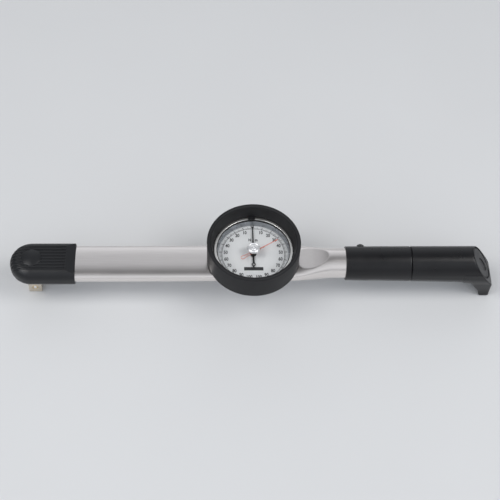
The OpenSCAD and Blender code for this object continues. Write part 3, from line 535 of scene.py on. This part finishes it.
gasket_rubber = moulded("gasket_rubber", (0.03, 0.03, 0.03), roughness=(0.6, 0.75))
for node in ("case_gasket", "lens_gasket"):
    wear(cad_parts[node], gasket_rubber)

# ---------------------------------------------------------- bezel, cone and tab
# The bezel is turned from aluminium and polished. It holds the lens, a bright
# cone that reflects light onto the dial, and a black tab at the dial's zero.
ring_metal = polished_metal("polished_aluminium", (0.74, 0.73, 0.70), (0.86, 0.85, 0.82),
                            gloss=(0.22, 0.32), grain=(1, 1, 1), scale=120, depth=0.00001)
ring_low, ring_high = corners("lens_ring")
lens_r = corners("lens")[1][0] - dial_x
lens_top = corners("lens")[1][2]
flange_r = ring_high[0] - dial_x
skirt_r = lens_r + 2
flange_top = case_top - 0.2
flange_t = 1.4
lens_gap = 0.03
bezel_profile = (
    [(lens_r + lens_gap, ring_low[2]), (skirt_r, ring_low[2]), (skirt_r, flange_top - flange_t),
     (flange_r, flange_top - flange_t), (flange_r, flange_top), (skirt_r, flange_top)]
    + arc(skirt_r - 0.5, ring_top - 0.5, 0.5, 0, 90, 5)
    + arc(lens_r - 0.4, ring_top - 0.4, 0.4, 90, 180, 5)
    + [(lens_r - 0.8, lens_top + lens_gap), (lens_r + lens_gap, lens_top + lens_gap)]
)
to_piece(lathe("lens_ring_skin", bezel_profile), "lens_ring_skin", ring_metal, "bezel",
         "lens_ring")

# A thin black seal shows between the bezel's lip and the lens.
seal_in, seal_out = lens_r - 1.35, lens_r - 0.85
seal_profile = [(seal_in, lens_top + 0.02), (seal_out, lens_top + 0.02), (seal_out, lens_top + 0.3),
                (seal_in + 0.2, lens_top + 0.3), (seal_in, lens_top + 0.15)]
to_piece(lathe("lens_seal_lip", seal_profile), "lens_seal_lip", gasket_rubber, "bezel")

cone_low, cone_high = corners("dial_cone")
face_z = corners("dial_plate")[1][2]
face_r = 34.0
cone_tiers = 4
cone_top_r = lens_r - 0.8
cone_drop = cone_high[2] - cone_low[2]
cone_run = cone_top_r - face_r
tier_edge = 0.12
cone_profile = [(lens_r, cone_low[2]), (lens_r, cone_high[2])]
for tier in range(cone_tiers):
    upper_z = cone_high[2] - cone_drop * tier / cone_tiers
    lower_z = cone_high[2] - cone_drop * (tier + 1) / cone_tiers
    upper_r = cone_top_r - cone_run * tier / cone_tiers
    lower_r = cone_top_r - cone_run * (tier + 1) / cone_tiers
    cone_profile += [(upper_r, upper_z), (lower_r + tier_edge, lower_z + 0.25),
                     (lower_r, lower_z + tier_edge)]
cone_profile += [(face_r, cone_low[2])]
cone_metal = polished_metal("turned_cone", (0.30, 0.32, 0.35), (0.56, 0.58, 0.61), gloss=(0.2, 0.3),
                            grain=(1, 1, 40), scale=120, depth=0.00001)
to_piece(lathe("dial_cone_skin", cone_profile), "dial_cone_skin", cone_metal, "bezel",
         "dial_cone", smooth=False)

tab_plastic = moulded("tab_plastic", (0.005, 0.005, 0.006), roughness=(0.35, 0.5))
wear(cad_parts["index_tab"], tab_plastic)
rounded_edges("index_tab", 0.35)

# ------------------------------------------------------------------ dial plate
# A thin aluminium disc, coated matt white and printed in black with a scale both
# ways from zero, its numbers, its unit and a plain bar.
dial_white, shader = principled("dial_white", (0.79, 0.79, 0.79), roughness=0.5)
w = Weave(dial_white)
w.link(w.colours(w.noise(60, 3), (0.76, 0.76, 0.77), (0.81, 0.81, 0.815)), shader.inputs["Base Color"])
w.link(w.bump(w.noise(2500, 2), 0.15, 0.00002), shader.inputs["Normal"])
wear(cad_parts["dial_plate"], dial_white)

print_ink, shader = principled("print_ink", (0.01, 0.01, 0.011), roughness=0.6)
w = Weave(print_ink)
w.link(w.colours(w.noise(900, 2), (0.008, 0.008, 0.009), (0.018, 0.018, 0.02)), shader.inputs["Base Color"])
ink_t = 0.03
ink_z = face_z + 0.005
degrees_per_unit = 1.703
ring_in, ring_mid, ring_out = 30.3, 31.9, 33.1
scale_end = 170.3
label_r, label_h, label_squeeze = 26.9, 3.7, 0.76
unit_y, unit_h, unit_squeeze = 16.9, 3.1, 0.8
letter_bold, capital_share = 0.17, 0.7


def printed_bar(work, angle, r0, r1, width):
    """A thin bar of ink along a radius, at an angle clockwise from zero."""
    a = math.radians(90 - angle)
    out, side = Vector((math.cos(a), math.sin(a), 0)), Vector((-math.sin(a), math.cos(a), 0))
    base = Vector((dial_x, 0, ink_z))
    flat = [base + out * r + side * s * width / 2 for r, s in ((r0, -1), (r1, -1), (r1, 1), (r0, 1))]
    add_prism(work, flat, ink_t)


def add_prism(work, flat, thickness):
    low = [work.verts.new(p * MM) for p in flat]
    high = [work.verts.new((p + Vector((0, 0, thickness))) * MM) for p in flat]
    work.faces.new(low[::-1])
    work.faces.new(high)
    for i in range(len(flat)):
        j = (i + 1) % len(flat)
        work.faces.new((low[i], low[j], high[j], high[i]))


def join_rows(work, rows, closed=False):
    """Faces between rows of four points, capped at both ends unless they close a ring."""
    following = rows[1:] + rows[:1] if closed else rows[1:]
    for one, two in zip(rows, following):
        for i in range(4):
            j = (i + 1) % 4
            work.faces.new((one[i], one[j], two[j], two[i]))
    if not closed:
        work.faces.new(rows[0][::-1])
        work.faces.new(rows[-1])


def printed_arc(work, radius, width, count=240):
    """A line of ink round the dial, from one end of the scale to the other."""
    inner, outer = radius - width / 2, radius + width / 2
    section = ((inner, 0), (outer, 0), (outer, ink_t), (inner, ink_t))
    base = Vector((dial_x, 0, ink_z))
    rows = []
    for a in np.radians(90 - np.linspace(-scale_end, scale_end, count + 1)):
        out = Vector((math.cos(a), math.sin(a), 0))
        rows.append([work.verts.new((base + out * r + Vector((0, 0, z))) * MM) for r, z in section])
    join_rows(work, rows)


def printed_text(work, words, x, y, height, squeeze):
    """Adds upright letters of ink, centred at a place on the dial."""
    curve = bpy.data.curves.new("type", "FONT")
    curve.body, curve.size = words, height / capital_share
    curve.align_x, curve.align_y = "CENTER", "CENTER"
    curve.extrude = ink_t / 2
    curve.offset = letter_bold
    curve.resolution_u = 3
    made = bpy.data.objects.new("type", curve)
    bpy.context.scene.collection.objects.link(made)
    bpy.context.view_layer.update()
    mesh = bpy.data.meshes.new_from_object(made.evaluated_get(bpy.context.evaluated_depsgraph_get()))
    place = Matrix.Translation(Vector((dial_x + x, y, ink_z + ink_t / 2)) * MM)
    mesh.transform(place @ Matrix.Diagonal((MM * squeeze, MM, MM, 1)))
    work.from_mesh(mesh)
    bpy.data.objects.remove(made)
    bpy.data.meshes.remove(mesh)


ink = bmesh.new()
for unit in range(-100, 101):
    if unit % 10 == 0:
        tick_out, tick_w = ring_out, 0.62
    elif unit % 5 == 0:
        tick_out, tick_w = ring_mid + 0.5, 0.42
    else:
        tick_out, tick_w = ring_mid, 0.27
    printed_bar(ink, unit * degrees_per_unit, ring_in, tick_out, tick_w)
printed_arc(ink, ring_in, 0.3)
printed_arc(ink, ring_out + 0.1, 0.12)
for value in range(10, 101, 10):
    for side in (-1, 1):
        a = math.radians(90 - side * value * degrees_per_unit)
        label_x, label_y = label_r * math.cos(a), label_r * math.sin(a)
        printed_text(ink, str(value), label_x, label_y, label_h, label_squeeze)
printed_text(ink, "N", -3.0, unit_y, unit_h, unit_squeeze)
printed_text(ink, "m", 3.3, unit_y, unit_h, unit_squeeze)
printed_shapes = {
    "dot": [(-0.65, 16.6), (0.05, 16.6), (0.05, 17.3), (-0.65, 17.3)],
    "zero": [(-2.1, 33.5), (0, 30.2), (2.1, 33.5)],
    "bar": [(-9.3, -18.9), (9.3, -18.9), (9.3, -15.0), (-9.3, -15.0)],
}
for outline in printed_shapes.values():
    add_prism(ink, [Vector((dial_x + x, y, ink_z)) for x, y in outline], ink_t * 1.3)
bmesh.ops.recalc_face_normals(ink, faces=ink.faces)
ink_mesh = bpy.data.meshes.new("dial_print")
ink.to_mesh(ink_mesh)
ink.free()
to_piece(ink_mesh, "dial_print", print_ink, "bezel", smooth=False)

# ------------------------------------------------------------- main pointer
# A thin black hand, pressed on a brass hub, with a ring in its tail. It sits on
# the pinion's arbor and turns with it.
pointer_black = moulded("pointer_black", (0.006, 0.006, 0.007), roughness=(0.35, 0.5), grain=2500)
wear(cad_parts["main_pointer"], pointer_black)
wear(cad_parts["pointer_hub"], brass)

# ----------------------------------------------------------- memory pointer
# A red hand on the lens's shaft, with an open tail. It stays where the main
# pointer has pushed it until the silver knob turns it back.
memory_red, shader = principled("memory_red", (0.78, 0.16, 0.09), roughness=0.35)
w = Weave(memory_red)
w.link(w.colours(w.noise(500, 2), (0.72, 0.13, 0.08), (0.86, 0.22, 0.13)), shader.inputs["Base Color"])
memory_reading = 58.2
memory_angle = math.radians(90 - memory_reading)
hand_t = 0.4
hand_z = corners("memory_pointer")[1][2] - hand_t
hand_tip = 29.2
hand_parts = bmesh.new()


def on_hand(along, across):
    """A place on the red hand, from its axis: along it to the tip and across it."""
    c, s = math.cos(memory_angle), math.sin(memory_angle)
    return Vector((dial_x + along * c - across * s, along * s + across * c, hand_z))


blade = [(1.7, -0.42), (hand_tip - 3.4, -0.2), (hand_tip - 3.6, -0.8), (hand_tip, 0),
         (hand_tip - 3.6, 0.8), (hand_tip - 3.4, 0.2), (1.7, 0.42)]
add_prism(hand_parts, [on_hand(*spot) for spot in blade], hand_t)
tail_bend_x, tail_bend_r, tail_half_w = -12.2, 1.75, 0.18
tail_half = [(-1.6, 1.0), (-4.5, 0.9), (-9.5, 1.15), (-11.8, tail_bend_r)]
tail_bend = [(tail_bend_x - tail_bend_r * math.sin(a), tail_bend_r * math.cos(a))
             for a in np.radians(np.linspace(15, 165, 9))]
tail_path = tail_half + tail_bend + [(along, -across) for along, across in tail_half[::-1]]
strip_rows = []
for i, (along, across) in enumerate(tail_path):
    before, after = tail_path[max(i - 1, 0)], tail_path[min(i + 1, len(tail_path) - 1)]
    run = Vector((after[0] - before[0], after[1] - before[1])).normalized()
    shift = Vector((-run.y, run.x)) * tail_half_w
    edge = [(along + shift.x, across + shift.y), (along - shift.x, across - shift.y)]
    points = [on_hand(*edge[0]), on_hand(*edge[1])]
    rise = Vector((0, 0, hand_t))
    strip_rows.append([hand_parts.verts.new(v * MM) for v in
                       (points[0], points[1], points[1] + rise, points[0] + rise)])
join_rows(hand_parts, strip_rows)
boss_in, boss_out = 1.06, 2.2
boss_section = ((boss_in, 0), (boss_out, 0), (boss_out, hand_t), (boss_in, hand_t))
boss_rows = [
    [hand_parts.verts.new(Vector((dial_x + r * math.cos(a), r * math.sin(a), hand_z + z)) * MM)
     for r, z in boss_section]
    for a in np.linspace(0, 2 * math.pi, 40, endpoint=False)
]
join_rows(hand_parts, boss_rows, closed=True)
dog_along, dog_r = 12, 0.35
dog_low = corners("memory_pointer")[0][2]
dog = [on_hand(dog_along, 0) + Vector((dog_r * math.cos(a), dog_r * math.sin(a), dog_low - hand_z))
       for a in np.linspace(0, 2 * math.pi, 12, endpoint=False)]
add_prism(hand_parts, dog, hand_z - dog_low + 0.1)
bmesh.ops.recalc_face_normals(hand_parts, faces=hand_parts.faces)
hand_mesh = bpy.data.meshes.new("memory_pointer_skin")
hand_parts.to_mesh(hand_mesh)
hand_parts.free()
to_piece(hand_mesh, "memory_pointer_skin", memory_red, "memory", "memory_pointer",
         smooth=False)

# ----------------------------------------------------------------- memory knob
# A small knob turned from aluminium, with rings and a dimple in its top. It is
# fixed on the shaft that passes through the lens to the red hand.
knob_low, knob_high = corners("memory_knob")
knob_r = knob_high[0] - dial_x
knob_metal = polished_metal("turned_knob", (0.80, 0.81, 0.82), (0.94, 0.94, 0.95), gloss=(0.40, 0.48),
                            grain=(1, 1, 1), scale=200, depth=0.00002)
knob_top = knob_high[2]
knob_profile = (
    [(0.02, knob_top - 0.9), (0.6, knob_top - 0.85), (0.65, knob_top - 0.2), (0.95, knob_top - 0.05),
     (2.2, knob_top - 0.05), (2.35, knob_top - 0.25), (2.6, knob_top - 0.25), (2.75, knob_top - 0.12),
     (knob_r - 1.5, knob_top - 0.12), (knob_r - 1.3, knob_top - 0.4), (knob_r - 1.05, knob_top - 0.4),
     (knob_r - 0.9, knob_top - 0.05)]
    + arc(knob_r - 0.5, knob_top - 0.5, 0.5, 90, 0, 6)
    + [(knob_r, knob_low[2] + 0.3), (knob_r - 0.3, knob_low[2]), (1.03, knob_low[2]),
       (1.03, knob_top - 1.0), (0.02, knob_top - 1.0)]
)
to_piece(lathe("memory_knob_skin", knob_profile, turns=96), "memory_knob_skin", knob_metal, "memory",
         "memory_knob")

# ------------------------------------------------------------------------ lens
# A disc of clear acrylic, bored at its centre for the memory pointer's shaft. It
# is held under the bezel's lip with a thin gasket.
lens_clear = bpy.data.materials.new("lens_clear")
lens_clear.use_nodes = True
w = Weave(lens_clear)
w.tree.nodes.remove(w.tree.nodes["Principled BSDF"])
clear = w.node("ShaderNodeBsdfTransparent")
clear.inputs["Color"].default_value = (0.985, 0.99, 0.99, 1)
gloss = w.node("ShaderNodeBsdfGlossy")
gloss.inputs["Roughness"].default_value = 0.03
fresnel = w.node("ShaderNodeFresnel")
fresnel.inputs["IOR"].default_value = 1.3
w.link(w.bump(w.noise(40, 1), 0.02, 0.0002), gloss.inputs["Normal"])
mix = w.node("ShaderNodeMixShader")
w.link(fresnel.outputs["Fac"], mix.inputs["Fac"])
w.link(clear.outputs["BSDF"], mix.inputs[1])
w.link(gloss.outputs["BSDF"], mix.inputs[2])
w.link(mix.outputs["Shader"], w.tree.nodes["Material Output"].inputs["Surface"])
wear(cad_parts["lens"], lens_clear)

# ------------------------------------------------------------------------ grip
# The grip is one hard moulding with a fine sparked texture, pushed over the
# tube: round in front, deeper towards its hook, serrated below, cut at a slant.
grip_low, grip_high = corners("grip_sleeve")
grip_x, hook_end = grip_low[0], grip_high[0] + 0.2
grip_gap, grip_len = 90.5, 135.7
grip_r = 16.7
grip_axis = axis_z - 0.3
grip_end = dial_x + grip_gap + grip_len
end_lean = math.atan(0.65)
load_line, line_half_w, line_t = grip_x + 64.4, 0.55, 1.1
grip_drop, most_drop = 5.0 / grip_len, 5.4
serration, serration_t = 2.3, 0.75
serrated_from, serrated_to = grip_x + 24, grip_x + 112
cove_x, cove_r = hook_end - 29.3, 18.7
cove_below = 0.5
hook_half_w, hook_widening = 13.2, 2.4
bore_r, bore_past_tube = 14.83, 2
seat_r, seat_t = 15.6, 2.0
screw_x = middle("grip_screw")[0]
screw_lean = math.radians(30)
spot_r, spot_height = 4.1, 16.3


def end_plane(x, z):
    """Distance behind the slanted end face."""
    return (x - grip_end) * math.cos(end_lean) + (z - axis_z) * math.sin(end_lean)


def grip_field(x, y, z):
    drop = np.clip((x - grip_x) * grip_drop, 0, most_drop)
    below = np.clip(z, grip_axis - drop, grip_axis)
    body = np.hypot(y, z - below) - grip_r
    under = smooth_step(-(z - (grip_axis - drop)) / grip_r, 0.15, 0.45)
    in_rows = smooth_step(x, serrated_from - 2, serrated_from)
    in_rows = in_rows * (1 - smooth_step(x, serrated_to, serrated_to + 2))
    wave = 0.5 + 0.5 * np.cos((x - serrated_from) * 2 * math.pi / serration)
    body = body + serration_t * under * in_rows * wave
    half_w = hook_half_w + hook_widening * smooth_step(z, 6, 30)
    hook = soft_max(x - hook_end, -z, 1.6)
    hook = soft_max(hook, cove_r - np.hypot(x - cove_x, z + cove_below), 1.2)
    hook = np.maximum(hook, cove_x - x)
    flare = 20 * np.clip((x - cove_x) / 18, 0, 1.2) ** 2.8
    hook = soft_max(hook, np.hypot(y, z - below) - grip_r - flare, 2.0)
    hook = soft_max(hook, np.abs(y) - half_w, 2.6)
    hook = np.maximum(hook, z - axis_z)
    body = soft_min(body, hook, 3.0)
    body = soft_max(body, grip_x - x, 1.0)
    body = soft_max(body, end_plane(x, z), 1.1)
    body = soft_max(body, x - hook_end, 1.5)
    line = np.maximum(np.abs(x - load_line) - line_half_w, -(body + line_t))
    body = soft_max(body, -line, 0.15)
    bore = np.maximum(np.hypot(y, z - axis_z) - bore_r, x - tube_high[0] - bore_past_tube)
    seat = np.maximum(np.hypot(y, z - grip_axis) - seat_r, -(end_plane(x, z) + seat_t))
    along = y * math.cos(screw_lean) + (z - axis_z) * math.sin(screw_lean)
    off = np.sqrt(np.maximum((x - screw_x) ** 2 + y * y + (z - axis_z) ** 2 - along ** 2, 0))
    spot_face = np.maximum(off - spot_r, spot_height - along)
    return np.maximum(body, -np.minimum(np.minimum(bore, seat), spot_face))


grip_plastic = moulded("grip_plastic", (0.002, 0.002, 0.003), roughness=(0.26, 0.34), grain=1100,
                       depth=0.00005, strength=0.3)
grip_step = 0.58
grip_mesh = skin("grip_skin", grip_field, grip_low, grip_high, grip_step)
to_piece(grip_mesh, "grip_skin", grip_plastic, "housing", "grip_sleeve")

# ------------------------------------------------------- end plate and screw
# A plain plastic plate with an oval recess closes the grip's slanted end. A black
# button-head screw on the far side holds the grip on the tube.
cap_low, cap_high = corners("grip_end_cap")
cap_r, cap_front, cap_back = 14.7, 0.35, 1.95
oval_half_w, oval_half_h, oval_t, oval_below = 5.6, 7.4, 1.2, 2.5


def cap_field(x, y, z):
    plate = soft_max(np.hypot(y, z - grip_axis) - cap_r, end_plane(x, z) + cap_front, 0.8)
    plate = np.maximum(plate, -(end_plane(x, z) + cap_back))
    oval = np.hypot(y / oval_half_w, (z - grip_axis + oval_below) / oval_half_h) - 1
    recess = np.maximum(oval * oval_half_w, -(end_plane(x, z) + oval_t))
    return soft_max(plate, -recess, 0.4)


cap_plastic = moulded("cap_plastic", (0.004, 0.004, 0.005), roughness=(0.36, 0.46), grain=1100)
cap_step = 0.35
cap_mesh = skin("grip_cap_skin", cap_field, cap_low, cap_high, cap_step)
to_piece(cap_mesh, "grip_cap_skin", cap_plastic, "housing", "grip_end_cap")

black_oxide = polished_metal("black_oxide", (0.03, 0.03, 0.03), (0.06, 0.06, 0.06), gloss=(0.3, 0.45),
                             grain=(10, 10, 10), scale=60)
wear(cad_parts["grip_screw"], black_oxide)
rounded_edges("grip_screw", 0.4, 3)

# ------------------------------------------------------- camera, floor, lights
# The wrench stands on a plain pale surface under large soft lights. The camera
# looks down from in front, rolled a little.
view_azimuth, view_elevation, view_roll, view_distance = 4.026, 54.877, 3.163, 1262.2
aim_right, aim_up, focal = -2.69, 13.05, 92.69
az, el, roll = (math.radians(v) for v in (view_azimuth, view_elevation, view_roll))
back = Vector((-math.sin(az) * math.cos(el), -math.cos(az) * math.cos(el), math.sin(el)))
across = Vector((math.cos(az), -math.sin(az), 0))
upright = back.cross(across)
right = across * math.cos(roll) + upright * math.sin(roll)
up = upright * math.cos(roll) - across * math.sin(roll)
camera = bpy.data.objects.new("camera", bpy.data.cameras.new("camera"))
bpy.context.scene.collection.objects.link(camera)
stand = (Vector((dial_x, 0, axis_z)) + back * view_distance + right * aim_right + up * aim_up) * MM
camera.matrix_world = Matrix.Translation(stand) @ Matrix((right, up, back)).transposed().to_4x4()
camera.data.lens = focal
camera.data.sensor_width = 36
bpy.context.scene.camera = camera

floor_half = 4
floor_corners = [(sx * floor_half, sy * floor_half, 0) for sx, sy in ((-1, -1), (1, -1), (1, 1), (-1, 1))]
floor_mesh = bpy.data.meshes.new("floor")
floor_mesh.from_pydata(floor_corners, [], [(0, 1, 2, 3)])
floor = bpy.data.objects.new("floor", floor_mesh)
bpy.context.scene.collection.objects.link(floor)
floor_paint, shader = principled("floor_paint", (0.66, 0.665, 0.67), roughness=0.8)
w = Weave(floor_paint)
w.link(w.colours(w.noise(3, 3), (0.65, 0.655, 0.66), (0.67, 0.675, 0.68)), shader.inputs["Base Color"])
wear(floor, floor_paint)

# The sky is a ramp from the horizon to overhead, dimmed towards both ends of the wrench.
world = bpy.data.worlds.new("studio")
bpy.context.scene.world = world
world.use_nodes = True
tree = world.node_tree
direction = tree.nodes.new("ShaderNodeTexCoord").outputs["Generated"]
axes = tree.nodes.new("ShaderNodeSeparateXYZ")
tree.links.new(direction, axes.inputs["Vector"])
sky = tree.nodes.new("ShaderNodeValToRGB")
sky_levels = [(0.0, 0.45), (0.12, 0.64), (0.28, 0.82), (0.45, 0.86),
              (0.62, 0.76), (0.80, 0.62), (0.93, 0.42), (1.0, 0.20)]
for height, _ in sky_levels[1:-1]:
    sky.color_ramp.elements.new(height)
for element, (height, level) in zip(sky.color_ramp.elements, sky_levels):
    element.position = height
    element.color = (0.95 * level, 0.975 * level, 1.02 * level, 1)
tree.links.new(axes.outputs["Z"], sky.inputs["Fac"])
sideways = tree.nodes.new("ShaderNodeMath")
sideways.operation = "MULTIPLY"
tree.links.new(axes.outputs["X"], sideways.inputs[0])
tree.links.new(axes.outputs["X"], sideways.inputs[1])
dimming = tree.nodes.new("ShaderNodeMapRange")
for socket, level in (("From Max", 0.4), ("To Min", 1.0), ("To Max", 0.28)):
    dimming.inputs[socket].default_value = level
tree.links.new(sideways.outputs["Value"], dimming.inputs["Value"])
tree.links.new(sky.outputs["Color"], tree.nodes["Background"].inputs["Color"])
tree.links.new(dimming.outputs["Result"], tree.nodes["Background"].inputs["Strength"])


def soft_box(name, place, size, brightness, colour=(1, 1, 1)):
    """A large soft box that faces the wrench; brightness is what its surface shows."""
    lamp = bpy.data.lights.new(name, "AREA")
    lamp.shape, lamp.size, lamp.size_y = "RECTANGLE", size[0], size[1]
    lamp.energy, lamp.color = brightness * math.pi * size[0] * size[1], colour
    box = bpy.data.objects.new(name, lamp)
    bpy.context.scene.collection.objects.link(box)
    middle_x = dial_x * MM
    box.location = (middle_x + place[0], place[1], place[2])
    aim = Vector((middle_x, 0, 0.04)) - box.location
    box.rotation_euler = aim.to_track_quat("-Z", "Y").to_euler()


for name, side in (("left_light", -1), ("right_light", 1)):
    soft_box(name, (side * 2.1, -1.6, 1.9), (2.2, 2.0), 1.3, (0.92, 0.98, 1.07))
    soft_box(name + "_top", (side * 1.15, -0.35, 1.8), (0.9, 0.9), 5.6, (1.0, 0.99, 0.98))

bpy.context.scene.view_settings.view_transform = "Standard"
